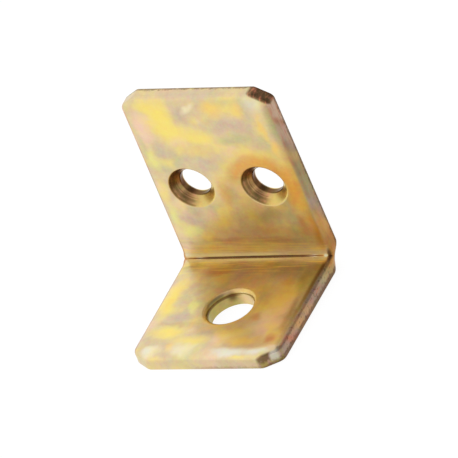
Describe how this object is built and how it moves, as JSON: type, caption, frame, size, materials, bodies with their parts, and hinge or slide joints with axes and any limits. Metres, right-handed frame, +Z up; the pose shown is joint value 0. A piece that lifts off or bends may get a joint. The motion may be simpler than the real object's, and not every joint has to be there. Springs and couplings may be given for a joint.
{
  "type": "shelf bracket",
  "caption": "Small right-angle bracket folded from thick zinc-plated steel sheet, with countersunk screw holes in the taller wall leg and a plain bolt hole in the shorter shelf leg.",
  "frame": {"origin": "centre of the bolt hole on the underside of the shelf leg", "axes": "+X along the fold, +Y towards the wall that the taller leg is screwed to, +Z up along that leg and along the bolt hole"},
  "size_m": [0.03, 0.0304, 0.0392],
  "materials": {
    "yellow_zinc_steel": "yellow passivated zinc plating on steel, mottled and half glossy"
  },
  "bodies": {
    "root": {"angle_bracket": "yellow_zinc_steel"}
  },
  "joints": []
}
